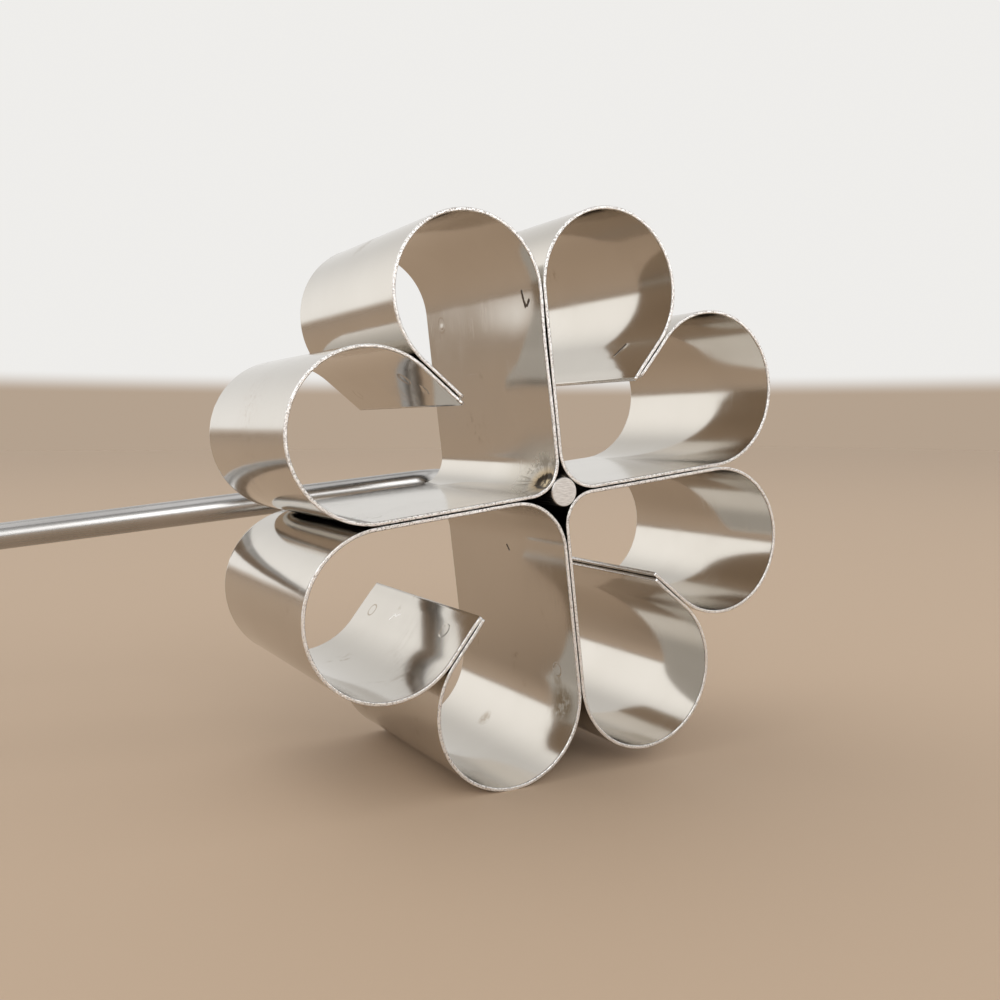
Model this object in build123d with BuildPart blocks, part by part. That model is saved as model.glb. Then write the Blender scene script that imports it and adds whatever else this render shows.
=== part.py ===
from build123d import *

import os
from dataclasses import dataclass
from math import asin, atan2, cos, degrees, hypot, radians, sin, sqrt

# A fritter iron, lying as it is put down: the flower-shaped head rests on one petal and the hook of
# its handle rests on the table. The head's axis runs level along +Y, with the face that is dipped in
# the batter towards -Y. The origin is where the four straight walls would cross on that face.
# All lengths are in millimetres and all angles in degrees.

# Strip steel of the head
strip_width = 51.0
strip_thickness = 0.7
wall_gap = 0.3
tail_gap = 0.3

# Petals: inner radius of the bend that leaves the straight wall, named by place, clockwise from the top
petal_radius_top_left = 15.2
petal_radius_top_right = 15.5
petal_radius_right_upper = 16.1
petal_radius_right_lower = 15.4
petal_radius_bottom_right = 16.0
petal_radius_bottom_left = 15.6
petal_radius_left_lower = 15.8
petal_radius_left_upper = 15.6

# The rest of each petal: how far the first bend turns, the bend that follows it, and the straight tail
petal_first_turn = 165.0
petal_end_radius = 16.0
tail_length = 10.2

# Hand bending leaves each notch a little off the true diagonal
notch_swing_angle_upper_left = -1.0
notch_swing_angle_upper_right = 0.0
notch_swing_angle_lower_right = 0.3
notch_swing_angle_lower_left = 0.3

# The lower left strip is bent to a wider corner, which stays clear of the rod
loose_corner_radius = 10.2

# Rod that is both the core of the head and its handle
rod_diameter = 6.0
rod_offset = 0.55
seat_clearance = 0.05
rod_stub = 0.5
elbow_radius = 8.0
handle_lean_angle = 15.0
handle_length = 460.0
hook_radius = 13.0
hook_turn = 180.0
hook_tail = 12.0
rod_end_chamfer = 0.2
hook_end_chamfer = 1.0

# Welds
wall_spot_diameter = 4.0
wall_spot_reach = 37.0
wall_spot_inset = 7.5
tail_spot_diameter = 4.0
tail_spot_inset = 9.0
rod_weld_diameter = 3.0
rod_weld_inset = 3.0

# Worked out from the sizes above
rod_radius = rod_diameter / 2
wall_face = wall_gap / 2 + strip_thickness
tail_face = tail_gap / 2 + strip_thickness
quarter_turn = 90.0


def corner_radius_on_rod(offset):
    """Inner radius of a right-angled corner whose back just clears the rod, with the rod's axis
    shifted by offset towards that corner."""
    reach = rod_radius + seat_clearance + offset
    return (reach - wall_gap / sqrt(2)) / (sqrt(2) - 1) - strip_thickness


def wall_length(petal_radius, notch_angle):
    """Distance from the origin to the end of the straight wall, such that the tail of its petal lies
    along the notch line, which leaves the origin at notch_angle from the wall."""
    notch = radians(notch_angle)
    turned = radians(petal_first_turn)
    step = petal_end_radius - petal_radius
    rise = wall_face + petal_radius + step * cos(turned)
    return (petal_end_radius + tail_face + rise * cos(notch)) / sin(notch) + step * sin(turned)


def tail_start(petal_radius, notch_angle):
    """Distance along the notch line at which the last bend ends and the tail starts."""
    notch = radians(notch_angle)
    turned = radians(petal_first_turn)
    step = petal_end_radius - petal_radius
    across = wall_length(petal_radius, notch_angle) - step * sin(turned)
    up = wall_face + petal_radius + step * cos(turned)
    return across * cos(notch) + up * sin(notch)


@dataclass
class Heart:
    """One bent strip. It fills the quarter of the head that starts at `turn`, measured from the upper
    right quarter, and its petals are named in the sense of the turn."""

    name: str
    turn: float
    corner_radius: float
    notch_swing: float
    first_petal_radius: float
    second_petal_radius: float

    @property
    def first_notch_angle(self):
        return quarter_turn / 2 + self.notch_swing

    @property
    def second_notch_angle(self):
        return quarter_turn / 2 - self.notch_swing

    @property
    def corner_centre(self):
        return wall_face + self.corner_radius


hearts = [
    Heart(
        "upper_right_heart",
        0 * quarter_turn,
        corner_radius_on_rod(rod_offset),
        notch_swing_angle_upper_right,
        petal_radius_right_upper,
        petal_radius_top_right,
    ),
    Heart(
        "upper_left_heart",
        1 * quarter_turn,
        corner_radius_on_rod(0),
        notch_swing_angle_upper_left,
        petal_radius_top_left,
        petal_radius_left_upper,
    ),
    Heart(
        "lower_left_heart",
        2 * quarter_turn,
        loose_corner_radius,
        notch_swing_angle_lower_left,
        petal_radius_left_lower,
        petal_radius_bottom_left,
    ),
    Heart(
        "lower_right_heart",
        3 * quarter_turn,
        corner_radius_on_rod(0),
        notch_swing_angle_lower_right,
        petal_radius_bottom_right,
        petal_radius_right_lower,
    ),
]
upper_right, upper_left, lower_left, lower_right = hearts

# The rod's axis is shifted along the diagonal of the upper right heart
rod_shift = rod_offset / sqrt(2)

# The handle turns away from the head's axis in the level of the two left walls
elbow_turn = quarter_turn - handle_lean_angle
elbow_reach = elbow_radius * (1 - cos(radians(elbow_turn)))
hook_axis_reach = elbow_reach + handle_length * sin(radians(elbow_turn)) - rod_shift
handle_reach = hook_axis_reach + hook_radius * (1 - cos(radians(elbow_turn)))

# The head rolls about its axis until the bottom left petal and the hook both touch the table
foot_radius = petal_radius_bottom_left + strip_thickness
foot_across = wall_face + petal_radius_bottom_left
foot_down = wall_length(petal_radius_bottom_left, lower_left.second_notch_angle)
run = handle_reach - foot_across
drop = foot_down + rod_shift
roll = degrees(atan2(drop, run) + asin((foot_radius - rod_radius) / hypot(run, drop)))

level = Vector(cos(radians(roll)), 0, sin(radians(roll)))
upright = Vector(-sin(radians(roll)), 0, cos(radians(roll)))
inward = Vector(0, 1, 0)


def draw_branch(start, heading, side, length, petal_radius, notch_angle, shift):
    """Wall, petal and tail, drawn shift away from the inner face of the strip. Side is 1 where the
    petal bends to the left of the heading and -1 where it bends to the right. Returns the tail's end."""
    wall = Line(start, start + heading * length)
    petal = JernArc(wall @ 1, wall % 1, petal_radius + shift, side * petal_first_turn)
    last_turn = 2 * quarter_turn + notch_angle - petal_first_turn
    curl = JernArc(petal @ 1, petal % 1, petal_end_radius + shift, side * last_turn)
    tail = Line(curl @ 1, curl @ 1 + (curl % 1) * tail_length)
    return tail @ 1


def draw_edge(heart, shift):
    """The whole length of a strip, drawn shift away from its inner face. Returns its two ends."""
    centre = heart.corner_centre
    height = wall_face - shift
    corner = JernArc((centre, height), (-1, 0), heart.corner_radius + shift, -quarter_turn)
    first_length = wall_length(heart.first_petal_radius, heart.first_notch_angle) - centre
    second_length = wall_length(heart.second_petal_radius, heart.second_notch_angle) - centre
    first_end = draw_branch(
        corner @ 0,
        Vector(1, 0),
        1,
        first_length,
        heart.first_petal_radius,
        heart.first_notch_angle,
        shift,
    )
    second_end = draw_branch(
        corner @ 1,
        Vector(0, 1),
        -1,
        second_length,
        heart.second_petal_radius,
        heart.second_notch_angle,
        shift,
    )
    return first_end, second_end


def face_plane(angle):
    """Plane on the front face with its x axis turned by angle from the level direction."""
    along = level * cos(radians(angle)) + upright * sin(radians(angle))
    return Plane(origin=(0, 0, 0), x_dir=along, z_dir=-inward)


def quarter_plane(heart):
    """Plane on the front face with its x axis along the first wall of the heart."""
    return face_plane(heart.turn)


os.makedirs("parts", exist_ok=True)

# Four heart-shaped strips, each bent from one length of flat steel
for heart in hearts:
    with BuildPart() as bent_strip:
        with BuildSketch(quarter_plane(heart)):
            with BuildLine():
                inner_ends = draw_edge(heart, 0)
                outer_ends = draw_edge(heart, strip_thickness)
                for inner_end, outer_end in zip(inner_ends, outer_ends):
                    Line(inner_end, outer_end)
            make_face()
        extrude(amount=-strip_width)
    bent_strip.part.label = heart.name
    export_step(bent_strip.part, f"parts/{heart.name}.step")

# Rod: sawn off flush with the front face, bent over behind the head, with a hanging hook at its end
rod_foot = level * rod_shift + upright * rod_shift
rod_plane = Plane(origin=rod_foot, x_dir=inward, z_dir=upright)
with BuildPart() as handle_rod:
    with BuildLine(rod_plane):
        core = Line((0, 0), (strip_width + rod_stub, 0))
        elbow = JernArc(core @ 1, core % 1, elbow_radius, elbow_turn)
        grip = Line(elbow @ 1, elbow @ 1 + (elbow % 1) * handle_length)
        hook = JernArc(grip @ 1, grip % 1, hook_radius, -hook_turn)
        hook_end = Line(hook @ 1, hook @ 1 + (hook % 1) * hook_tail)
    with BuildSketch(Plane(origin=rod_foot, z_dir=inward)):
        Circle(rod_radius)
    sweep()
    flat_ends = handle_rod.faces().filter_by(GeomType.PLANE)
    chamfer(flat_ends.sort_by_distance(rod_foot)[0].edges(), length=rod_end_chamfer)
    chamfer(flat_ends.sort_by_distance(rod_foot)[-1].edges(), length=hook_end_chamfer)
handle_rod.part.label = "handle_rod"
export_step(handle_rod.part, "parts/handle_rod.step")

# Spot welds that fill the slit between the straight walls, two across the width of each pair
wall_spot_planes = []
for heart in hearts:
    quarter = quarter_plane(heart)
    for depth in (wall_spot_inset, strip_width - wall_spot_inset):
        spot = quarter.from_local_coords(Vector(wall_spot_reach, 0, -depth))
        wall_spot_planes.append(Plane(origin=spot, z_dir=quarter.y_dir))
with BuildPart() as wall_spot_welds:
    with Locations(*wall_spot_planes):
        Cylinder(radius=wall_spot_diameter / 2, height=wall_gap)
wall_spot_welds.part.label = "wall_spot_welds"
export_step(wall_spot_welds.part, "parts/wall_spot_welds.step")

# Spot welds between the two tails in each notch
tail_spot_planes = []
for heart in hearts:
    notch = face_plane(heart.turn + heart.first_notch_angle)
    first_start = tail_start(heart.first_petal_radius, heart.first_notch_angle)
    second_start = tail_start(heart.second_petal_radius, heart.second_notch_angle)
    middle = (first_start + second_start - tail_length) / 2
    for depth in (tail_spot_inset, strip_width - tail_spot_inset):
        spot = notch.from_local_coords(Vector(middle, 0, -depth))
        tail_spot_planes.append(Plane(origin=spot, z_dir=notch.y_dir))
with BuildPart() as tail_spot_welds:
    with Locations(*tail_spot_planes):
        Cylinder(radius=tail_spot_diameter / 2, height=tail_gap)
tail_spot_welds.part.label = "tail_spot_welds"
export_step(tail_spot_welds.part, "parts/tail_spot_welds.step")

# Weld nuggets between the rod and the three corners that touch it, near the front and the back edge
with BuildPart() as rod_welds:
    for heart in (upper_right, upper_left, lower_right):
        quarter = quarter_plane(heart)
        corner_axis = quarter.from_local_coords(Vector(heart.corner_centre, heart.corner_centre, 0))
        towards_corner = (corner_axis - rod_foot).normalized()
        seat = rod_foot + towards_corner * rod_radius
        for depth in (rod_weld_inset, strip_width - rod_weld_inset):
            with Locations(Plane(origin=seat + inward * depth, z_dir=towards_corner)):
                Cylinder(radius=rod_weld_diameter / 2, height=rod_weld_diameter)
        with Locations(Plane(origin=corner_axis, z_dir=inward)):
            Cylinder(
                radius=heart.corner_radius + strip_thickness,
                height=strip_width,
                align=(Align.CENTER, Align.CENTER, Align.MIN),
                mode=Mode.SUBTRACT,
            )
    with Locations(Plane(origin=rod_foot, z_dir=inward)):
        Cylinder(
            radius=rod_radius,
            height=strip_width,
            align=(Align.CENTER, Align.CENTER, Align.MIN),
            mode=Mode.SUBTRACT,
        )
rod_welds.part.label = "rod_welds"
export_step(rod_welds.part, "parts/rod_welds.step")

print(f"roll of the head {roll:.2f} degrees, reach of the handle {handle_reach:.1f} mm")
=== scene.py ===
from math import asin, atan2, cos, hypot, pi, radians, sin, sqrt

import bpy
from mathutils import Matrix, Vector, noise


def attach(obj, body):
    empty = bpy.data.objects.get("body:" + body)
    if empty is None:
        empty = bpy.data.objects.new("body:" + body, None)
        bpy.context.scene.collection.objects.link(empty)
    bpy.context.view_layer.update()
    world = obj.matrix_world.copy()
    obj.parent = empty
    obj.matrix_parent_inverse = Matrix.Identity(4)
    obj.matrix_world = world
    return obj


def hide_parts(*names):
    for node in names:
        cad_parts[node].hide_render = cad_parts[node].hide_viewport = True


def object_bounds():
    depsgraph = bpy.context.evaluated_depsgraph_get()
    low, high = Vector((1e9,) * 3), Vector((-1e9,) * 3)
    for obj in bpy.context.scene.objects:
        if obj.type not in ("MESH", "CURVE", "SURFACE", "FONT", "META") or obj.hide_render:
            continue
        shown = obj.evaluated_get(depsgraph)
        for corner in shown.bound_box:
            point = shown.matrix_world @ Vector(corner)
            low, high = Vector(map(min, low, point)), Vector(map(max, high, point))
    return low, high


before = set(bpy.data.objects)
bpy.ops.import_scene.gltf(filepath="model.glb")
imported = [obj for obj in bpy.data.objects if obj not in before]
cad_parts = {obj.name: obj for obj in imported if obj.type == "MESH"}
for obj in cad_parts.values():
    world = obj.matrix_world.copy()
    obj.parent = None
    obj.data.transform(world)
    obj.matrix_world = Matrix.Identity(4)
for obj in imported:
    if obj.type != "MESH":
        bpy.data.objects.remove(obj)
cad_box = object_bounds()

# Dressing of the fritter iron: four hearts of bright stainless strip with sheared edges round a round
# rod, which is also the handle. The sizes repeat those of the part, in metres, angles in degrees.
MM = 0.001

# Strip steel of the head
STRIP_WIDTH = 51.0 * MM
STRIP_THICKNESS = 0.7 * MM
WALL_GAP = 0.3 * MM
TAIL_GAP = 0.3 * MM

# Petals: inner radius of the bend that leaves the straight wall, named by place
PETAL_RADIUS_TOP_LEFT = 15.2 * MM
PETAL_RADIUS_TOP_RIGHT = 15.5 * MM
PETAL_RADIUS_RIGHT_UPPER = 16.1 * MM
PETAL_RADIUS_RIGHT_LOWER = 15.4 * MM
PETAL_RADIUS_BOTTOM_RIGHT = 16.0 * MM
PETAL_RADIUS_BOTTOM_LEFT = 15.6 * MM
PETAL_RADIUS_LEFT_LOWER = 15.8 * MM
PETAL_RADIUS_LEFT_UPPER = 15.6 * MM
PETAL_FIRST_TURN = 165.0
PETAL_END_RADIUS = 16.0 * MM
TAIL_LENGTH = 10.2 * MM
NOTCH_SWING_UPPER_LEFT = -1.0
NOTCH_SWING_UPPER_RIGHT = 0.0
NOTCH_SWING_LOWER_RIGHT = 0.3
NOTCH_SWING_LOWER_LEFT = 0.3
LOOSE_CORNER_RADIUS = 10.2 * MM

# Rod
ROD_RADIUS = 3.0 * MM
ROD_OFFSET = 0.55 * MM
SEAT_CLEARANCE = 0.05 * MM
ROD_STUB = 0.5 * MM
ELBOW_RADIUS = 8.0 * MM
HANDLE_LEAN = 15.0
HANDLE_LENGTH = 460.0 * MM
HOOK_RADIUS = 13.0 * MM
HOOK_TURN = 180.0
HOOK_TAIL = 12.0 * MM
ROD_END_CHAMFER = 0.2 * MM
HOOK_END_CHAMFER = 1.0 * MM

# Spot welds
WALL_SPOT_REACH = 37.0 * MM
WALL_SPOT_INSET = 7.5 * MM
TAIL_SPOT_INSET = 9.0 * MM

WALL_FACE = WALL_GAP / 2 + STRIP_THICKNESS
TAIL_FACE = TAIL_GAP / 2 + STRIP_THICKNESS


def corner_radius_on_rod(offset):
    """Inner radius of a corner whose back just clears the rod."""
    reach = ROD_RADIUS + SEAT_CLEARANCE + offset
    return (reach - WALL_GAP / sqrt(2)) / (sqrt(2) - 1) - STRIP_THICKNESS


def wall_length(petal_radius, notch_angle):
    """Distance from the crossing of the walls to the end of the straight wall."""
    notch = radians(notch_angle)
    turned = radians(PETAL_FIRST_TURN)
    step = PETAL_END_RADIUS - petal_radius
    rise = WALL_FACE + petal_radius + step * cos(turned)
    return (PETAL_END_RADIUS + TAIL_FACE + rise * cos(notch)) / sin(notch) + step * sin(turned)


# One row for each heart: name, turn of its quarter, corner radius, swing of its notch, radii of its
# first and second petal
HEARTS = [
    (
        "upper_right_heart",
        0.0,
        corner_radius_on_rod(ROD_OFFSET),
        NOTCH_SWING_UPPER_RIGHT,
        PETAL_RADIUS_RIGHT_UPPER,
        PETAL_RADIUS_TOP_RIGHT,
    ),
    (
        "upper_left_heart",
        90.0,
        corner_radius_on_rod(0.0),
        NOTCH_SWING_UPPER_LEFT,
        PETAL_RADIUS_TOP_LEFT,
        PETAL_RADIUS_LEFT_UPPER,
    ),
    (
        "lower_left_heart",
        180.0,
        LOOSE_CORNER_RADIUS,
        NOTCH_SWING_LOWER_LEFT,
        PETAL_RADIUS_LEFT_LOWER,
        PETAL_RADIUS_BOTTOM_LEFT,
    ),
    (
        "lower_right_heart",
        270.0,
        corner_radius_on_rod(0.0),
        NOTCH_SWING_LOWER_RIGHT,
        PETAL_RADIUS_BOTTOM_RIGHT,
        PETAL_RADIUS_RIGHT_LOWER,
    ),
]

# The head rolls about its axis until its foot and the hook both touch the table
ROD_SHIFT = ROD_OFFSET / sqrt(2)
ELBOW_TURN = 90.0 - HANDLE_LEAN
elbow_reach = ELBOW_RADIUS * (1 - cos(radians(ELBOW_TURN)))
hook_axis_reach = elbow_reach + HANDLE_LENGTH * sin(radians(ELBOW_TURN)) - ROD_SHIFT
handle_reach = hook_axis_reach + HOOK_RADIUS * (1 - cos(radians(ELBOW_TURN)))
foot_radius = PETAL_RADIUS_BOTTOM_LEFT + STRIP_THICKNESS
foot_across = WALL_FACE + PETAL_RADIUS_BOTTOM_LEFT
foot_down = wall_length(PETAL_RADIUS_BOTTOM_LEFT, 45.0 - NOTCH_SWING_LOWER_LEFT)
run = handle_reach - foot_across
drop = foot_down + ROD_SHIFT
ROLL = atan2(drop, run) + asin((foot_radius - ROD_RADIUS) / hypot(run, drop))

LEVEL = Vector((cos(ROLL), 0, sin(ROLL)))
UPRIGHT = Vector((-sin(ROLL), 0, cos(ROLL)))
INWARD = Vector((0, 1, 0))
TABLE = cad_box[0].z


def on_head(across, height, depth):
    """Point of the head from its distances along the level walls, along the upright walls and behind
    the front face, in millimetres."""
    return (LEVEL * across + UPRIGHT * height + INWARD * depth) * MM


# Burn of the rod's weld, inside the corner of the upper left heart: longer in depth than across, and
# brightest off its middle. Its rim and its ragged outline are given in radii of the burn.
BURN = on_head(-2.4, 2.45, 1.9)
BURN_CORE = on_head(-2.45, 2.25, 1.7)
BURN_RADIUS = 2.0 * MM
BURN_STRETCH = 1.7
BURN_DEPTH = 0.30 * MM
BURN_RIM = 0.10 * MM
BURN_RIM_PLACE = 1.35
BURN_RIM_WIDTH = 0.55
BURN_REACH = 3
BURN_RAGGED = 0.3
BURN_RAGGED_SCALE = 1500.0

# Dents and prints of the spot welder
DIMPLE = on_head(-0.85, 36.6, 43.4)
DIMPLE_RADIUS = 1.0 * MM
DIMPLE_HEIGHT = 0.12 * MM
SLIT_DENT = (on_head(25.1, 26.3, 13.0), on_head(27.2, 28.4, 11.5))
SLIT_DENT_DEPTH = 0.07 * MM
SLIT_DENT_WIDTH = 1.2 * MM
TAIL_RINGS = (on_head(-26.1, 25.8, 12.1), on_head(-26.0, -25.1, 43.9))
TAIL_RING_RADIUS = 1.4 * MM
CLEAN_WELD = on_head(25.6, 26.8, 10.0)

# Buckle of the upper left heart's upright wall, as heights above the axis. Its push is smaller at the
# front edge and full from a little behind it.
BUCKLE_HEIGHT = 0.40 * MM
BUCKLE_FROM = 15.0 * MM
BUCKLE_TOP = 30.0 * MM
BUCKLE_TO = 41.0 * MM
BUCKLE_DEPTH = 45.0 * MM
BUCKLE_AT_EDGE = 0.55
BUCKLE_FULL_FROM = 10.0 * MM
BUCKLE_SIDE = 2.0 * MM

# Marks of the shop, where the photographed iron has them: the last two values of a scuff are its
# radius and its strength
HOOK_MARK = (
    on_head(-0.85, 40.7, 6.7),
    on_head(-0.85, 38.8, 6.2),
    on_head(-0.85, 37.7, 5.7),
    on_head(-0.85, 37.8, 4.9),
    on_head(-0.85, 38.7, 4.2),
)
NICK = (on_head(-0.85, -12.4, 23.4), on_head(-0.85, -13.4, 22.6))
ZIGZAG = (
    on_head(-25.0, -24.1, 30.2),
    on_head(-25.6, -24.7, 31.6),
    on_head(-25.3, -24.4, 32.4),
    on_head(-26.4, -25.5, 33.4),
)
SCRATCHES = (
    (on_head(-0.85, 25.6, 12.0), on_head(-0.85, 25.3, 33.0)),
    (on_head(-0.85, 42.2, 25.6), on_head(-0.85, 41.0, 26.3)),
    (on_head(-6.4, -52.0, 29.0), on_head(-7.4, -53.2, 34.0)),
)
SCUFFS = (
    (on_head(-0.85, -39.9, 7.6), 2.2 * MM, 0.8),
    (on_head(-1.4, -44.4, 5.8), 5.5 * MM, 1.3),
    (on_head(-6.8, -52.6, 31.4), 2.4 * MM, 0.8),
    (on_head(-24.6, 53.7, 26.9), 4.0 * MM, 0.7),
)
FLECKS = on_head(-52.8, 25.1, 24.0)
FLECKS_RADIUS = 9.0 * MM

# Sampling of the strips: steps along the bends, and rings across the width, in millimetres from the
# nearer edge. A row of rings is given as its first, its step and its count.
STEP = 0.5 * MM
RINGS_AT_EDGE = (0.22, 0.36, 0.6, 1.0, 1.4, 1.8, 2.15, 2.5, 2.85, 3.2, 3.55, 3.9, 4.3, 4.8, 5.4)
RINGS_AT_WELDS = (6.0, 0.7, 9)
RINGS_BETWEEN = (13.5, 2.0, 7)

# Sheared edges: their rounding, how near its middle comes to the corner, as a share of its radius, and
# the points of the flat between, as shares of the thickness
EDGE_ROUND = 0.2 * MM
EDGE_FULLNESS = 0.3
EDGE_FLAT = (0.7, 0.5, 0.3)

# Hand bending leaves the sheet slightly wavy, with smaller waves on the larger ones
WAVE_HEIGHT = 0.022 * MM
WAVE_SCALE = 45.0
SMALL_WAVE_SHARE = 0.35
SMALL_WAVE_FINENESS = 2.7
SMALL_WAVE_SHIFT = Vector((3.0, 1.0, 7.0))

# Shearing leaves the edges rough, less so across the sheet than along its depth, and with a seed the
# same in every run
SHEAR_ROUGHNESS = 0.055 * MM
SHEAR_SCALES = (1700.0, 600.0)
SHEAR_ACROSS = 0.4
SHEAR_SEED = 1
noise.seed_set(SHEAR_SEED)

# Burrs of shearing reach out over the gaps, but not at the loose tails of the upper left heart
BURR = 0.08 * MM
BURR_DEPTH = 0.35 * MM
LOOSE_TAILS = "upper_left_heart"

# The welded tails are pinched together towards their tips
TAIL_PINCH = 0.1 * MM
TAIL_PINCH_REACH = 3.0 * MM

# Sampling of the rod: points round it, and steps along its core, handle, bends and hook
ROD_SIDES = 64
CORE_STEP = 2.0 * MM
HANDLE_STEP = 4.0 * MM
ROD_BEND_STEP = 0.6 * MM
HOOK_STEP = 3.0 * MM


def arc(centre, radius, start, turn):
    """Points and normals of an arc, without its first point. The normals point to its centre."""
    count = max(3, round(abs(radius * radians(turn)) / STEP))
    made = []
    for i in range(1, count + 1):
        angle = radians(start + turn * i / count)
        outward = Vector((cos(angle), sin(angle)))
        made.append((centre + outward * radius, -outward))
    return made


def straight(start, end, normal):
    """Points of a straight stretch, without its first point."""
    count = max(2, round((end - start).length / STEP))
    return [(start.lerp(end, i / count), normal) for i in range(1, count + 1)]


def branch(corner_radius, petal_radius, notch_angle):
    """Inner face of half a heart, from the middle of its corner to the end of its tail, with the wall
    along x: points, normals that look into the heart, ways travelled, distances from the nearest weld,
    and whether that weld is the wall's."""
    centre = WALL_FACE + corner_radius
    length = wall_length(petal_radius, notch_angle)
    wall_end = Vector((length, WALL_FACE))
    line = arc(Vector((centre, centre)), corner_radius, 225.0, 45.0)
    line += straight(Vector((centre, WALL_FACE)), wall_end, Vector((0, 1)))
    petal_centre = Vector((length, WALL_FACE + petal_radius))
    line += arc(petal_centre, petal_radius, -90.0, PETAL_FIRST_TURN)
    turned = radians(PETAL_FIRST_TURN - 90.0)
    shift = petal_radius - PETAL_END_RADIUS
    curl_centre = petal_centre + Vector((cos(turned), sin(turned))) * shift
    last_turn = 180.0 + notch_angle - PETAL_FIRST_TURN
    line += arc(curl_centre, PETAL_END_RADIUS, PETAL_FIRST_TURN - 90.0, last_turn)
    tail_from, normal = line[-1]
    along = Vector((normal.y, -normal.x))
    line += straight(tail_from, tail_from + along * TAIL_LENGTH, normal)
    travelled = [0.0]
    for (a, _), (b, _) in zip(line, line[1:]):
        travelled.append(travelled[-1] + (b - a).length)
    wall_weld = corner_radius * pi / 4 + WALL_SPOT_REACH - centre
    tail_weld = travelled[-1] - TAIL_LENGTH / 2
    made = []
    for (point, normal), way in zip(line, travelled):
        at_wall = way < (wall_weld + tail_weld) / 2
        made.append((point, normal, way, abs(way - (wall_weld if at_wall else tail_weld)), at_wall))
    return made


def heart_line(corner_radius, swing, first_radius, second_radius):
    """The whole inner face of a heart, from the tail of its second petal to that of its first."""
    first = branch(corner_radius, first_radius, 45.0 + swing)
    second = branch(corner_radius, second_radius, 45.0 - swing)
    mirrored = [
        (Vector((p.y, p.x)), Vector((n.y, n.x)), -way, off, at_wall)
        for p, n, way, off, at_wall in second
    ]
    middle = WALL_FACE + corner_radius * (1 - sqrt(0.5))
    bisector = Vector((sqrt(0.5), sqrt(0.5)))
    corner = (Vector((middle, middle)), bisector, 0.0, first[0][3], True)
    return mirrored[::-1] + [corner] + first


def row_of_rings(first, step, count):
    return [first + step * i for i in range(count)]


def depths():
    """Depths of the rings across the width, closer together at the edges and at the welds."""
    near = [*RINGS_AT_EDGE, *row_of_rings(*RINGS_AT_WELDS), *row_of_rings(*RINGS_BETWEEN)]
    half = [d * MM for d in near]
    return half + [STRIP_WIDTH - d for d in half[-2::-1]]


def cross_section():
    """Closed outline of the strip's section, as distances behind the inner face and depths."""
    field = depths()
    inner = [(0.0, d) for d in field]
    outer = [(STRIP_THICKNESS, d) for d in reversed(field)]
    bulge = EDGE_FULLNESS * EDGE_ROUND
    front = [(STRIP_THICKNESS - bulge, bulge), (STRIP_THICKNESS - EDGE_ROUND, 0.0)]
    front += [(share * STRIP_THICKNESS, 0.0) for share in EDGE_FLAT]
    front += [(EDGE_ROUND, 0.0), (bulge, bulge)]
    back = [(u, STRIP_WIDTH - v) for u, v in reversed(front)]
    return inner + back + outer + front, len(inner), len(back)


def waviness(place):
    """How far hand bending has pushed the sheet at a place."""
    large = noise.noise(place * WAVE_SCALE)
    small = noise.noise(place * WAVE_SCALE * SMALL_WAVE_FINENESS + SMALL_WAVE_SHIFT)
    return WAVE_HEIGHT * (large + SMALL_WAVE_SHARE * small)


def off_line(place, start, end):
    """Distance of a place from a straight stroke."""
    along = end - start
    share = max(0.0, min(1.0, (place - start).dot(along) / along.length_squared))
    return (place - start - along * share).length


def ease(share):
    """Smooth step from 0 to 1."""
    share = max(0.0, min(1.0, share))
    return share * share * (3 - 2 * share)


def buckle(place):
    """Buckle of the upper left heart's upright wall under its spot welds."""
    height = place.dot(UPRIGHT)
    if not (-BUCKLE_SIDE < place.dot(LEVEL) < 0 and BUCKLE_FROM < height < BUCKLE_TO):
        return 0.0
    rising = ease((height - BUCKLE_FROM) / (BUCKLE_TOP - BUCKLE_FROM))
    falling = ease((BUCKLE_TO - height) / (BUCKLE_TO - BUCKLE_TOP))
    inside = BUCKLE_AT_EDGE + (1 - BUCKLE_AT_EDGE) * ease(place.y / BUCKLE_FULL_FROM)
    return BUCKLE_HEIGHT * rising * falling * inside * ease(1 - place.y / BUCKLE_DEPTH)


def off_burn(place):
    """Way from the burn's middle, shortened in depth so that the burn is round in it."""
    off = place - BURN
    return Vector((off.x, off.y / BURN_STRETCH, off.z))


def relief(place):
    """Relief of the burn, a crater with a raised rim, and of the dents, positive out of the metal."""
    made = 0.0
    r = off_burn(place).length
    if r < BURN_REACH * BURN_RADIUS:
        ragged = 1 + BURN_RAGGED * noise.noise(place * BURN_RAGGED_SCALE)
        made -= BURN_DEPTH * max(0.0, 1 - (r / (BURN_RADIUS * ragged)) ** 2)
        made += BURN_RIM * max(0.0, 1 - ((r / BURN_RADIUS - BURN_RIM_PLACE) / BURN_RIM_WIDTH) ** 2)
    made += DIMPLE_HEIGHT * max(0.0, 1 - ((place - DIMPLE).length / DIMPLE_RADIUS) ** 2) ** 2
    made -= SLIT_DENT_DEPTH * max(0.0, 1 - (off_line(place, *SLIT_DENT) / SLIT_DENT_WIDTH) ** 2) ** 2
    return made


def new_object(name, vertices, faces, materials, kinds):
    mesh = bpy.data.meshes.new(name)
    mesh.from_pydata(vertices, [], faces)
    for material in materials:
        mesh.materials.append(material)
    mesh.polygons.foreach_set("material_index", kinds)
    mesh.polygons.foreach_set("use_smooth", [True] * len(faces))
    mesh.update()
    piece = bpy.data.objects.new(name, mesh)
    bpy.context.collection.objects.link(piece)
    return piece


def lay_uv(mesh, name, values):
    """Gives every corner of the mesh the pair of values of its vertex."""
    layer = mesh.uv_layers.new(name=name)
    for loop in mesh.loops:
        layer.data[loop.index].uv = values[loop.vertex_index]


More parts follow.
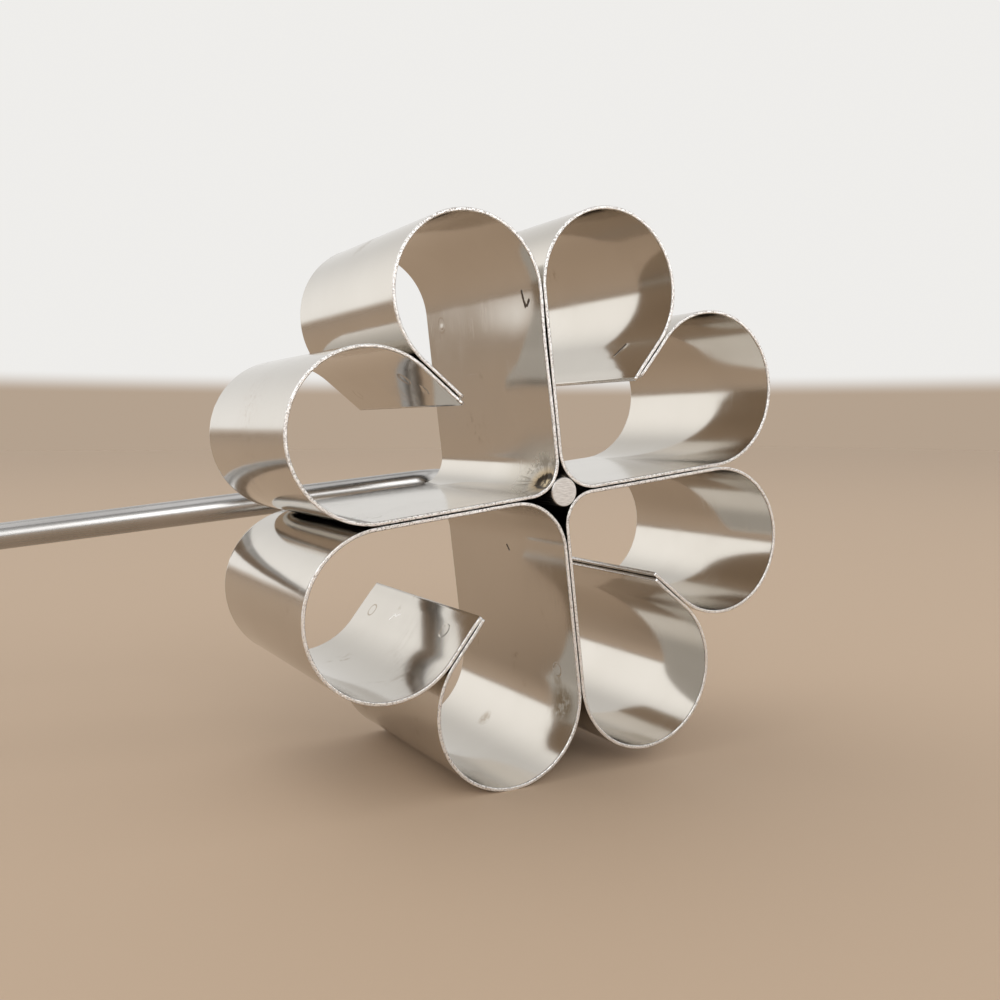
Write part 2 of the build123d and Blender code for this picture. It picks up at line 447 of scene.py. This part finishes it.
def make_heart(name, turn, corner_radius, swing, first_radius, second_radius, materials):
    """One bent strip as a closed mesh, with its length and depth and the distances from its welds
    kept as coordinates for the materials."""
    line = heart_line(corner_radius, swing, first_radius, second_radius)
    section, inner_count, back_count = cross_section()
    ring = len(section)
    outer_from = inner_count + back_count
    front_from = outer_from + inner_count
    along_x = LEVEL * cos(radians(turn)) + UPRIGHT * sin(radians(turn))
    along_y = UPRIGHT * cos(radians(turn)) - LEVEL * sin(radians(turn))
    fine, coarse = SHEAR_SCALES
    vertices = []
    strip_uv = []
    weld_uv = []
    first_tip = line[0][2]
    last_tip = line[-1][2]
    loose_tails = name == LOOSE_TAILS
    for point, normal, way, off, at_wall in line:
        from_tip = min(way - first_tip, last_tip - way)
        pinch = 0.0 if loose_tails else TAIL_PINCH * ease(1 - from_tip / TAIL_PINCH_REACH)
        facing = along_x * normal.x + along_y * normal.y
        root = along_x * point.x + along_y * point.y
        inset = WALL_SPOT_INSET if at_wall else TAIL_SPOT_INSET
        for j, (behind, depth) in enumerate(section):
            place = root - facing * behind + INWARD * depth
            push = facing * (waviness(root + INWARD * depth) + buckle(root + INWARD * depth) - pinch)
            if j < inner_count:
                push = push + facing * relief(place)
            if inner_count <= j < outer_from or j >= front_from:
                jag = noise.noise_vector(place * fine) + noise.noise_vector(place * coarse)
                inside = 1 if depth < STRIP_WIDTH / 2 else -1
                push = push + facing * (jag.x * SHEAR_ACROSS * SHEAR_ROUGHNESS)
                push = push + INWARD * (inside * abs(jag.y) * SHEAR_ROUGHNESS)
            if behind > STRIP_THICKNESS / 2 and (at_wall or not loose_tails):
                near_edge = max(0.0, 1 - min(depth, STRIP_WIDTH - depth) / BURR_DEPTH)
                push = push - facing * (BURR * near_edge)
            vertices.append(place + push)
            strip_uv.append((way, depth))
            weld_uv.append((off, min(depth, STRIP_WIDTH - depth) - inset))
    faces = []
    kinds = []
    for i in range(len(line) - 1):
        for j in range(ring):
            k = (j + 1) % ring
            faces.append((i * ring + k, i * ring + j, (i + 1) * ring + j, (i + 1) * ring + k))
            on_inner = j < inner_count - 1
            on_outer = outer_from <= j < front_from - 1
            kinds.append(0 if on_inner or on_outer else 1)
    for start in (0, (len(line) - 1) * ring):
        cap = []
        for j in range(inner_count - 1):
            mate = front_from - 1 - j
            cap.append((start + j, start + j + 1, start + mate - 1, start + mate))
        cap.append(tuple(start + j for j in range(inner_count - 1, outer_from + 1)))
        cap.append(tuple(start + j for j in [*range(front_from - 1, ring), 0]))
        if start > 0:
            cap = [face[::-1] for face in cap]
        faces += cap
        kinds += [1] * len(cap)
    piece = new_object(name + "_dressed", vertices, faces, materials, kinds)
    lay_uv(piece.data, "strip", strip_uv)
    lay_uv(piece.data, "weld", weld_uv)
    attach(piece, "root")
    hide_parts(name)


class RodPath:
    """Centre line of the rod, drawn in the plane of its elbow: x to the handle's side, y inward."""

    def __init__(self):
        self.place = Vector((0.0, 0.0))
        self.heading = 90.0
        self.way = 0.0
        self.points = []
        self.keep()

    def keep(self):
        self.points.append((self.place.copy(), self.heading, self.way))

    def go(self, length, step):
        count = max(1, round(length / step))
        ahead = Vector((cos(radians(self.heading)), sin(radians(self.heading))))
        for _ in range(count):
            self.place = self.place + ahead * (length / count)
            self.way += length / count
            self.keep()

    def bend(self, radius, turn):
        side = self.heading + (90.0 if turn > 0 else -90.0)
        centre = self.place + Vector((cos(radians(side)), sin(radians(side)))) * radius
        count = max(8, round(abs(radians(turn)) * radius / ROD_BEND_STEP))
        for _ in range(count):
            side += turn / count
            self.heading += turn / count
            self.place = centre - Vector((cos(radians(side)), sin(radians(side)))) * radius
            self.way += abs(radians(turn)) * radius / count
            self.keep()


def make_rod(materials):
    """The rod from its sawn end in the front face to the end of the hanging hook."""
    path = RodPath()
    path.go(STRIP_WIDTH + ROD_STUB, CORE_STEP)
    path.bend(ELBOW_RADIUS, -ELBOW_TURN)
    path.go(HANDLE_LENGTH, HANDLE_STEP)
    path.bend(HOOK_RADIUS, HOOK_TURN)
    path.go(HOOK_TAIL, HOOK_STEP)
    foot = (LEVEL + UPRIGHT) * ROD_SHIFT
    side = -LEVEL
    lift = INWARD.cross(side)
    rings = []
    for place, heading, way in path.points:
        along = side * cos(radians(heading)) + INWARD * sin(radians(heading))
        rings.append((foot + side * place.x + INWARD * place.y, along, ROD_RADIUS, way))
    end, along, radius, way = rings[0]
    rings[0] = (end + along * ROD_END_CHAMFER, along, radius, way)
    rings.insert(0, (end, along, radius - ROD_END_CHAMFER, way))
    end, along, radius, way = rings[-1]
    rings[-1] = (end - along * HOOK_END_CHAMFER, along, radius, way)
    rings.append((end, along, radius - HOOK_END_CHAMFER, way))
    sides = ROD_SIDES
    vertices = []
    rod_uv = []
    for centre, along, radius, way in rings:
        other = along.cross(lift)
        for j in range(sides):
            angle = 2 * pi * j / sides
            vertices.append(centre + (lift * cos(angle) + other * sin(angle)) * radius)
            rod_uv.append((way, angle * ROD_RADIUS))
    faces = []
    for i in range(len(rings) - 1):
        for j in range(sides):
            k = (j + 1) % sides
            faces.append((i * sides + j, i * sides + k, (i + 1) * sides + k, (i + 1) * sides + j))
    kinds = [0] * len(faces)
    start = (len(rings) - 1) * sides
    faces.append(tuple(reversed(range(sides))))
    faces.append(tuple(start + j for j in range(sides)))
    kinds += [1, 1]
    piece = new_object("handle_rod_dressed", vertices, faces, materials, kinds)
    for polygon in list(piece.data.polygons)[-2:]:
        polygon.use_smooth = False
    lay_uv(piece.data, "rod", rod_uv)
    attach(piece, "root")
    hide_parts("handle_rod")


class Nodes:
    """Short calls for the nodes of a tree."""

    def __init__(self, tree):
        self.tree = tree

    def put(self, socket, value):
        if isinstance(value, bpy.types.NodeSocket):
            self.tree.links.new(value, socket)
        elif value is not None:
            socket.default_value = value

    def place(self):
        return self.tree.nodes.new("ShaderNodeTexCoord").outputs["Object"]

    def uv(self, name):
        node = self.tree.nodes.new("ShaderNodeUVMap")
        node.uv_map = name
        return node.outputs["UV"]

    def math(self, operation, a, b=None, c=None):
        node = self.tree.nodes.new("ShaderNodeMath")
        node.operation = operation
        for socket, value in zip(node.inputs, (a, b, c)):
            self.put(socket, value)
        return node.outputs[0]

    def times(self, a, b):
        return self.math("MULTIPLY", a, b)

    def larger(self, a, b):
        return self.math("MAXIMUM", a, b)

    def shaken(self, distance, texture, reach):
        """A distance that a texture makes ragged, by up to its reach."""
        return self.math("MULTIPLY_ADD", texture, reach, distance)

    def vector(self, operation, a, b=None):
        node = self.tree.nodes.new("ShaderNodeVectorMath")
        node.operation = operation
        self.put(node.inputs[0], a)
        self.put(node.inputs[1], b)
        single = operation in ("LENGTH", "DISTANCE", "DOT_PRODUCT")
        return node.outputs["Value" if single else "Vector"]

    def away(self, place, point):
        """Distance of the place from a point."""
        return self.vector("DISTANCE", place, tuple(point))

    def stretch(self, vector, scale, turn=(0, 0, 0)):
        node = self.tree.nodes.new("ShaderNodeMapping")
        self.put(node.inputs["Vector"], vector)
        node.inputs["Rotation"].default_value = turn
        node.inputs["Scale"].default_value = scale
        return node.outputs["Vector"]

    def noise(self, vector, scale, detail=2.0, roughness=0.5, distortion=0.0):
        node = self.tree.nodes.new("ShaderNodeTexNoise")
        self.put(node.inputs["Vector"], vector)
        node.inputs["Scale"].default_value = scale
        node.inputs["Detail"].default_value = detail
        node.inputs["Roughness"].default_value = roughness
        node.inputs["Distortion"].default_value = distortion
        return node.outputs["Fac"]

    def band(self, value, none, full):
        """Smooth step of a value: 0 where it is none, 1 where it is full."""
        node = self.tree.nodes.new("ShaderNodeMapRange")
        node.interpolation_type = "SMOOTHSTEP"
        self.put(node.inputs["Value"], value)
        node.inputs["From Min"].default_value = none
        node.inputs["From Max"].default_value = full
        return node.outputs["Result"]

    def blend(self, share, a, b):
        node = self.tree.nodes.new("ShaderNodeMix")
        node.data_type = "RGBA"
        self.put(node.inputs["Factor"], share)
        for socket, value in ((node.inputs[6], a), (node.inputs[7], b)):
            self.put(socket, (*value, 1.0) if isinstance(value, tuple) else value)
        return node.outputs[2]


# Scratches: their width in the noise that draws them, and the scale of the patches where they lie
SCRATCH_WIDTH = 0.012
SCRATCH_PATCH_SCALE = 60.0


class Shade(Nodes):
    """A metal material."""

    def __init__(self, name):
        self.material = bpy.data.materials.new(name)
        self.material.use_nodes = True
        super().__init__(self.material.node_tree)
        self.shader = self.tree.nodes["Principled BSDF"]
        self.shader.inputs["Metallic"].default_value = 1.0

    def tinted(self, colour, marks):
        """The colour under marks, each given as where it is, how strongly it tints, and its tint."""
        for where, strength, tint in marks:
            colour = self.blend(self.times(where, strength), colour, tint)
        return colour

    def summed(self, base, marks):
        """The base and what each mark adds to it, given as where the mark is and what it adds."""
        for where, added in marks:
            base = self.math("MULTIPLY_ADD", where, added, base)
        return base

    def finish(self, colour, roughness, height):
        """Sets colour and roughness, and the height of the relief in metres."""
        self.put(self.shader.inputs["Base Color"], colour)
        self.put(self.shader.inputs["Roughness"], roughness)
        bump = self.tree.nodes.new("ShaderNodeBump")
        bump.inputs["Strength"].default_value = 1.0
        bump.inputs["Distance"].default_value = 1.0
        self.put(bump.inputs["Height"], height)
        self.put(self.shader.inputs["Normal"], bump.outputs["Normal"])
        return self.material

    def ring(self, value, middle, width):
        """1 where a value meets the middle, 0 from a width away from it."""
        off = self.math("ABSOLUTE", self.math("SUBTRACT", value, middle))
        return self.band(off, width, 0.0)

    def stroke(self, place, start, end):
        """Distance from a straight stroke between two points."""
        along = end - start
        from_start = self.vector("SUBTRACT", place, tuple(start))
        share = self.vector("DOT_PRODUCT", from_start, tuple(along / along.length_squared))
        share = self.larger(self.math("MINIMUM", share, 1.0), 0.0)
        scaled = self.tree.nodes.new("ShaderNodeVectorMath")
        scaled.operation = "SCALE"
        scaled.inputs[0].default_value = tuple(along)
        self.put(scaled.inputs["Scale"], share)
        return self.vector("LENGTH", self.vector("SUBTRACT", from_start, scaled.outputs["Vector"]))

    def strokes(self, place, points):
        """Distance from a broken line."""
        nearest = None
        for start, end in zip(points, points[1:]):
            off = self.stroke(place, start, end)
            nearest = off if nearest is None else self.math("MINIMUM", nearest, off)
        return nearest

    def scratches(self, vector, turn, along, across, rarity):
        """Thin lines: 1 on a scratch. Along and across are the scales of the noise that draws them."""
        turned = (0, 0, radians(turn))
        streak = self.noise(self.stretch(vector, (along, across, 1.0), turned), scale=1.0, detail=1.0)
        patches = (SCRATCH_PATCH_SCALE, SCRATCH_PATCH_SCALE, 1.0)
        where = self.noise(self.stretch(vector, patches, turned), scale=1.0, detail=2.0)
        line = self.ring(streak, 0.5, SCRATCH_WIDTH)
        return self.times(line, self.band(where, rarity, rarity + 0.1))


# Tints of the strip and its marks
STEEL = (0.605, 0.576, 0.534)
STEEL_DULL = (0.535, 0.502, 0.455)
STAIN = (0.27, 0.21, 0.14)
FLECK_TINT = (0.42, 0.33, 0.25)
BRIGHT_SCRATCH = (0.85, 0.84, 0.82)
DARK_MARK = (0.045, 0.025, 0.012)
HEATED_TINT = (0.40, 0.36, 0.29)
BLUE_TINT = (0.30, 0.28, 0.27)
STRAW_TINT = (0.46, 0.31, 0.13)
SOOT = (0.17, 0.14, 0.10)
BURN_GLAZE = (0.62, 0.53, 0.36)
SCORCH = (0.025, 0.018, 0.013)
STRIP_ROUGHNESS = 0.105
STRIP_ANISOTROPY = 0.8

# Where marks are full and where they end: the inner part of a scuff or of the flecks that is full, as
# a share of its radius, and the distances from a stroke at which it has ended and at which it is full
SCUFF_FULL = 0.25
FLECKS_FULL = 0.4
SCRATCH_EDGE = (0.16 * MM, 0.04 * MM)
ZIGZAG_EDGE = (0.26 * MM, 0.08 * MM)
HOOK_EDGE = (0.74 * MM, 0.44 * MM)
NICK_EDGE = (0.34 * MM, 0.16 * MM)
SLIT_EDGE = (0.45 * MM, 0.15 * MM)
HOOK_RAGGED = 0.6 * MM

# Prints of the spot welder: their ring, the pressed disc in it, and the space round a marked weld that
# they leave free
PRINT_RADIUS = 1.65 * MM
PRINT_WIDTH = 0.22 * MM
PRINT_RAGGED = 0.5 * MM
PRESSED_EDGE = (1.9 * MM, 1.4 * MM)
MARKED_WELD_EDGE = (4.0 * MM, 5.0 * MM)
TAIL_RING_WIDTH = 0.3 * MM
TAIL_RING_RAGGED = 0.4 * MM
TAIL_RING_FLAT = 0.6 * TAIL_RING_RADIUS

# Zones of the burn, as distances from its middle: where each has ended and where it is full, or for a
# ring its radius and width, and how ragged the outlines are
HALO_EDGE = (5.0 * MM, 2.4 * MM)
HEATED_EDGE = (18.0 * MM, 8.0 * MM)
HEATED_RAGGED = 9.0 * MM
CORE_EDGE = (2.0 * MM, 1.3 * MM)
CORE_RAGGED = 1.4 * MM
SCORCH_EDGE = (3.1 * MM, 2.6 * MM)
SCORCH_RAGGED = 1.6 * MM
BLUE_RING = (4.6 * MM, 0.9 * MM)
SOOT_RING = (5.0 * MM, 3.0 * MM)


def bright_strip_steel():
    """Bright rolled stainless: faint rolling lines, scratches, smudges, weld prints and the burn."""
    s = Shade("bright_strip_steel")
    place = s.place()
    strip = s.uv("strip")
    weld = s.uv("weld")

    # Smudges and stains of handling and hot oil
    cloud = s.noise(place, scale=38.0, detail=3.0, roughness=0.55, distortion=0.4)
    smudge = s.band(cloud, none=0.52, full=0.72)
    speckle = s.noise(place, scale=520.0, roughness=0.6)
    fine = s.noise(place, scale=1300.0, detail=3.0, roughness=0.65)
    stain_where = s.noise(place, scale=55.0, distortion=0.8)
    stain = s.times(s.band(stain_where, none=0.66, full=0.78), s.band(speckle, none=0.45, full=0.7))
    mottle = s.band(s.noise(place, scale=900.0, detail=3.0, roughness=0.6), none=0.30, full=0.52)
    for centre, radius, strength in SCUFFS:
        near = s.band(s.away(place, centre), radius, SCUFF_FULL * radius)
        stain = s.larger(stain, s.times(s.times(near, strength), mottle))
    flecked = s.band(s.away(place, FLECKS), FLECKS_RADIUS, FLECKS_FULL * FLECKS_RADIUS)
    curls = s.noise(place, scale=700.0, roughness=0.6, distortion=0.8)
    flecks = s.times(flecked, s.ring(curls, 0.52, 0.035))
    flecks = s.times(flecks, s.band(fine, none=0.44, full=0.54))

    # Fine lines
    grain = s.noise(s.stretch(strip, (30.0, 5200.0, 1.0)), scale=1.0)
    lengthwise = s.scratches(strip, turn=8.0, along=45.0, across=1400.0, rarity=0.52)
    crosswise = s.scratches(strip, turn=71.0, along=60.0, across=1100.0, rarity=0.56)
    slanting = s.scratches(strip, turn=-38.0, along=55.0, across=900.0, rarity=0.60)
    lines = s.larger(s.larger(lengthwise, crosswise), slanting)
    for start, end in SCRATCHES:
        lines = s.larger(lines, s.band(s.stroke(place, start, end), *SCRATCH_EDGE))
    bright_lines = s.band(s.strokes(place, ZIGZAG), *ZIGZAG_EDGE)

    # Prints of the spot welder: a ring, faint on some welds and clear on others
    off_weld = s.shaken(s.vector("LENGTH", weld), speckle, PRINT_RAGGED)
    prints = s.times(s.ring(off_weld, PRINT_RADIUS, PRINT_WIDTH), s.band(speckle, none=0.42, full=0.62))
    pressed = s.band(off_weld, *PRESSED_EDGE)
    for centre in (*TAIL_RINGS, HOOK_MARK[1], CLEAN_WELD):
        clear = s.band(s.away(place, centre), *MARKED_WELD_EDGE)
        prints = s.times(prints, clear)
        pressed = s.times(pressed, clear)
    for centre in TAIL_RINGS:
        away = s.away(place, centre)
        off_ring = s.shaken(away, speckle, TAIL_RING_RAGGED)
        tail_ring = s.ring(off_ring, TAIL_RING_RADIUS + TAIL_RING_RAGGED / 2, TAIL_RING_WIDTH)
        prints = s.larger(prints, tail_ring)
        pressed = s.larger(pressed, s.band(away, TAIL_RING_RADIUS, TAIL_RING_FLAT))

    # Dark marks: a hook at a weld, a nick and the middle of the slit dent
    dark = s.band(s.shaken(s.strokes(place, HOOK_MARK), fine, HOOK_RAGGED), *HOOK_EDGE)
    dark = s.larger(dark, s.band(s.strokes(place, NICK), *NICK_EDGE))
    dark = s.larger(dark, s.band(s.strokes(place, SLIT_DENT), *SLIT_EDGE))

    # The burn: a scorched crater in a straw-coloured halo
    squeeze = (1.0, 1.0 / BURN_STRETCH, 1.0)
    from_middle = s.vector("MULTIPLY", s.vector("SUBTRACT", place, tuple(BURN)), squeeze)
    from_core = s.vector("MULTIPLY", s.vector("SUBTRACT", place, tuple(BURN_CORE)), squeeze)
    off_middle = s.vector("LENGTH", from_middle)
    ragged = s.shaken(off_middle, fine, SCORCH_RAGGED)
    ragged_core = s.shaken(s.vector("LENGTH", from_core), fine, CORE_RAGGED)
    halo = s.band(ragged, *HALO_EDGE)
    heated = s.band(s.shaken(off_middle, cloud, HEATED_RAGGED), *HEATED_EDGE)
    core = s.times(s.band(ragged_core, *CORE_EDGE), s.band(fine, none=0.62, full=0.50))
    scorch = s.times(s.band(ragged, *SCORCH_EDGE), s.math("SUBTRACT", 1.0, core))
    blue = s.ring(ragged, *BLUE_RING)

    # Rays and specks of soot round the burn
    ray = s.band(s.noise(s.vector("NORMALIZE", from_middle), scale=7.0), none=0.48, full=0.62)
    soot = s.times(s.larger(ray, s.band(fine, none=0.50, full=0.62)), s.ring(ragged, *SOOT_RING))

    marks = (
        (stain, 0.70, STAIN),
        (flecks, 0.60, FLECK_TINT),
        (heated, 0.55, HEATED_TINT),
        (blue, 0.35, BLUE_TINT),
        (halo, 0.65, STRAW_TINT),
        (soot, 0.55, SOOT),
        (core, 0.80, BURN_GLAZE),
        (scorch, 0.96, SCORCH),
        (prints, 0.75, STAIN),
        (dark, 0.92, DARK_MARK),
    )
    colour = s.tinted(s.blend(cloud, STEEL, STEEL_DULL), marks)
    colour = s.blend(bright_lines, colour, BRIGHT_SCRATCH)

    rough_marks = (
        (smudge, 0.04),
        (heated, 0.17),
        (lines, 0.10),
        (bright_lines, 0.30),
        (stain, 0.12),
        (prints, 0.15),
        (dark, 0.25),
        (halo, 0.10),
        (soot, 0.15),
    )
    roughness = s.summed(STRIP_ROUGHNESS, rough_marks)

    peel = s.noise(place, scale=260.0)
    # Heights in metres, negative for what is pressed in
    raised_marks = (
        (peel, 3.0e-6),
        (grain, 0.25e-6),
        (lines, -2.0e-6),
        (bright_lines, 1.0e-5),
        (prints, -1.6e-5),
        (pressed, -1.4e-5),
        (dark, -5.0e-5),
        (s.times(heated, fine), 1.5e-5),
        (soot, 2.0e-5),
    )
    height = s.summed(0.0, raised_marks)

    # The rolling lines run across the strip, and blur what it mirrors along its length
    along = s.tree.nodes.new("ShaderNodeTangent")
    along.direction_type = "UV_MAP"
    along.uv_map = "strip"
    s.put(s.shader.inputs["Tangent"], along.outputs[0])
    s.shader.inputs["Anisotropic"].default_value = STRIP_ANISOTROPY
    return s.finish(colour, roughness, height)


# Tones of the sheared edge: bright torn metal, lightened past the steel's own brightness into near
# white as a painted sheen of the front light. The pits are the metal's own.
SHEARED_BRIGHT_WITH_PAINTED_SHEEN = (0.985, 0.98, 0.975)
SHEARED_DULL_WITH_PAINTED_SHEEN = (0.84, 0.83, 0.82)
SHEARED_PIT = (0.26, 0.23, 0.21)


def sheared_edge_steel():
    """Sheared edge: bright torn metal whose near-white tones are partly a painted sheen of the front
    light, speckled, with darker pits.
    """
    s = Shade("sheared_edge_steel")
    place = s.place()
    tear = s.noise(place, scale=2900.0, detail=3.0, roughness=0.7)
    pits = s.noise(place, scale=2500.0, detail=3.0, roughness=0.65)
    pit = s.band(pits, none=0.51, full=0.60)
    worn = s.band(s.noise(place, scale=70.0), none=0.4, full=0.6)
    pit_share = s.times(pit, s.summed(0.28, ((worn, 0.38),)))
    colour = s.blend(pit_share, s.blend(tear, SHEARED_BRIGHT_WITH_PAINTED_SHEEN, SHEARED_DULL_WITH_PAINTED_SHEEN), SHEARED_PIT)
    roughness = s.summed(0.22, ((tear, 0.25),))
    height = s.summed(0.0, ((tear, 6.0e-5), (pit, -5.0e-5)))
    return s.finish(colour, roughness, height)


ROD_BRIGHT = (0.50, 0.495, 0.49)
ROD_DULL = (0.36, 0.35, 0.34)
ROD_STREAK = (0.30, 0.29, 0.28)
ROD_NICK = (0.30, 0.28, 0.26)


def drawn_rod_steel():
    """Drawn rod: satin, with streaks along its length and a few handling marks."""
    s = Shade("drawn_rod_steel")
    place = s.place()
    rod = s.uv("rod")
    streak = s.noise(s.stretch(rod, (25.0, 3800.0, 1.0)), scale=1.0, detail=3.0, roughness=0.6)
    cloud = s.noise(place, scale=60.0, detail=3.0)
    nick = s.scratches(rod, turn=68.0, along=150.0, across=900.0, rarity=0.58)
    marks = ((s.band(streak, none=0.45, full=0.7), 0.35, ROD_STREAK), (nick, 0.30, ROD_NICK))
    colour = s.tinted(s.blend(cloud, ROD_BRIGHT, ROD_DULL), marks)
    roughness = s.summed(0.17, ((cloud, 0.08), (streak, 0.12)))
    height = s.summed(0.0, ((streak, 1.6e-6), (nick, -4.0e-6)))
    return s.finish(colour, roughness, height)


SAWN_BRIGHT = (0.78, 0.775, 0.77)
SAWN_DULL = (0.58, 0.575, 0.57)
SAWN_SLANT = 35.0


def sawn_rod_end_steel():
    """Sawn and filed rod end: fine slanting lines."""
    s = Shade("sawn_rod_end_steel")
    place = s.place()
    slanted = s.stretch(place, (700.0, 700.0, 6500.0), (0, radians(SAWN_SLANT), 0))
    filed = s.noise(slanted, scale=1.0, detail=3.0, roughness=0.65)
    cloud = s.noise(place, scale=700.0)
    colour = s.blend(s.band(filed, none=0.38, full=0.62), SAWN_BRIGHT, SAWN_DULL)
    roughness = s.summed(0.30, ((cloud, 0.2),))
    height = s.summed(0.0, ((filed, 1.5e-5),))
    return s.finish(colour, roughness, height)


WELD_STRAW = (0.30, 0.25, 0.19)
WELD_BLUE = (0.17, 0.18, 0.22)
WELD_BRIGHT = (0.42, 0.39, 0.35)


def weld_steel():
    """Weld metal: dull, rippled, with straw and blue heat tints."""
    s = Shade("weld_steel")
    place = s.place()
    ripple = s.noise(place, scale=1400.0, detail=3.0, roughness=0.6, distortion=0.5)
    cloud = s.noise(place, scale=420.0)
    colour = s.blend(s.band(cloud, none=0.42, full=0.58), WELD_STRAW, WELD_BLUE)
    colour = s.blend(s.band(ripple, none=0.55, full=0.7), colour, WELD_BRIGHT)
    roughness = s.summed(0.32, ((ripple, 0.3),))
    height = s.summed(0.0, ((ripple, 6.0e-5),))
    return s.finish(colour, roughness, height)


strip_steel = bright_strip_steel()
edge_steel = sheared_edge_steel()
rod_steel = drawn_rod_steel()
rod_end_steel = sawn_rod_end_steel()
nugget_steel = weld_steel()

for row in HEARTS:
    make_heart(*row, [strip_steel, edge_steel])
make_rod([rod_steel, rod_end_steel])
for weld_name in ("wall_spot_welds", "tail_spot_welds", "rod_welds"):
    weld_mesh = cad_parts[weld_name].data
    weld_mesh.materials.clear()
    weld_mesh.materials.append(nugget_steel)

# Stage: a plain pale floor that runs out to the horizon
FLOOR_COLOUR = (0.55, 0.415, 0.30)
FLOOR_SIZE = 8.0
FLOOR_ROUGHNESS = 0.7
FLOOR_SPECULAR = 0.2
bpy.ops.mesh.primitive_plane_add(size=FLOOR_SIZE, location=(0, 0, TABLE))
floor = bpy.context.object
floor.name = "floor"
floor_material = bpy.data.materials.new("pale_floor")
floor_material.use_nodes = True
floor_shader = floor_material.node_tree.nodes["Principled BSDF"]
floor_shader.inputs["Base Color"].default_value = (*FLOOR_COLOUR, 1)
floor_shader.inputs["Roughness"].default_value = FLOOR_ROUGHNESS
floor_shader.inputs["Specular IOR Level"].default_value = FLOOR_SPECULAR
floor.data.materials.append(floor_material)

# World: a pale backdrop all round that starts as a band of the floor's tone at the horizon, under a
# darker ceiling. To the left, where the walls of the head mirror it, a white wall takes the backdrop's
# place and reaches down to the horizon. It lights and is mirrored, and isn't seen directly. Its left
# and right edges are headings in degrees, and all other edges are heights of the view's direction.
BACKDROP = (0.86, 0.85, 0.83)
CEILING = (0.42, 0.41, 0.40)
HORIZON = (0.458, 0.360, 0.274)
WHITE_WALL_GAIN = 0.62
WHITE_WALL_LEFT = (-85.0, -70.0)
WHITE_WALL_RIGHT = (6.0, -33.0)
WHITE_WALL_FOOT = (-0.005, 0.055)
WHITE_WALL_TOP = (0.80, 0.70)
BACKDROP_FOOT = (0.035, 0.055)
CEILING_EDGE = (0.72, 0.86)
world = bpy.data.worlds.new("studio")
bpy.context.scene.world = world
world.use_nodes = True
sky = Nodes(world.node_tree)
direction = sky.tree.nodes.new("ShaderNodeTexCoord").outputs["Generated"]
split = sky.tree.nodes.new("ShaderNodeSeparateXYZ")
sky.put(split.inputs[0], direction)
rise = split.outputs["Z"]
azimuth = sky.math("ARCTAN2", split.outputs["X"], split.outputs["Y"])
left_side = sky.times(
    sky.band(azimuth, *map(radians, WHITE_WALL_LEFT)),
    sky.band(azimuth, *map(radians, WHITE_WALL_RIGHT)),
)
white_wall = sky.times(left_side, sky.band(rise, *WHITE_WALL_FOOT))
bright = sky.times(white_wall, sky.band(rise, *WHITE_WALL_TOP))
seen_directly = sky.tree.nodes.new("ShaderNodeLightPath").outputs["Is Camera Ray"]
bright = sky.times(bright, sky.math("SUBTRACT", 1.0, seen_directly))
backdrop = sky.blend(sky.band(rise, *BACKDROP_FOOT), HORIZON, BACKDROP)
backdrop = sky.blend(sky.band(rise, *CEILING_EDGE), backdrop, CEILING)
backdrop = sky.blend(bright, backdrop, BACKDROP)
background = sky.tree.nodes["Background"]
sky.put(background.inputs["Color"], backdrop)
sky.put(background.inputs["Strength"], sky.math("MULTIPLY_ADD", bright, WHITE_WALL_GAIN, 1.0))

# Soft rectangular lamps that look at the head: name, place, width, height and brightness
LOOKED_AT = Vector((0, 0, 0))
SOFTBOXES = (
    ("overhead_softbox", Vector((-0.35, 0.25, 1.5)), 1.2, 1.0, 0.8),
    ("front_softbox", Vector((-0.5, -1.5, 0.75)), 1.1, 0.9, 2.6),
    ("right_softbox", Vector((1.1, -1.9, 0.6)), 1.9, 0.85, 1.2),
)
for name, place, width, height, brightness in SOFTBOXES:
    data = bpy.data.lights.new(name, "AREA")
    data.shape = "RECTANGLE"
    data.size = width
    data.size_y = height
    data.energy = brightness * pi * width * height
    lamp = bpy.data.objects.new(name, data)
    bpy.context.collection.objects.link(lamp)
    lamp.location = place
    lamp.rotation_mode = "QUATERNION"
    lamp.rotation_quaternion = (LOOKED_AT - place).to_track_quat("-Z", "Y")

# Camera at the photograph's viewing angle
CAMERA_PLACE = Vector((-111.81, -171.28, 12.09)) * MM
CAMERA_HEADING = 29.62
CAMERA_PITCH = -3.73
CAMERA_ROLL = 0.15
CAMERA_LENS = 36.96

heading = radians(CAMERA_HEADING)
pitch = radians(CAMERA_PITCH)
roll = radians(CAMERA_ROLL)
forward = Vector((sin(heading) * cos(pitch), cos(heading) * cos(pitch), sin(pitch)))
plain_right = Vector((cos(heading), -sin(heading), 0))
plain_up = plain_right.cross(forward)
right = plain_right * cos(roll) + plain_up * sin(roll)
up = right.cross(forward)
camera_data = bpy.data.cameras.new("camera")
camera_data.lens = CAMERA_LENS
camera_data.sensor_width = 36.0
camera_data.clip_start = 0.01
camera_data.clip_end = 20.0
camera = bpy.data.objects.new("camera", camera_data)
bpy.context.collection.objects.link(camera)
turned = Matrix((right, up, -forward)).transposed().to_4x4()
camera.matrix_world = Matrix.Translation(CAMERA_PLACE) @ turned
bpy.context.scene.camera = camera
bpy.context.scene.view_settings.view_transform = "Standard"
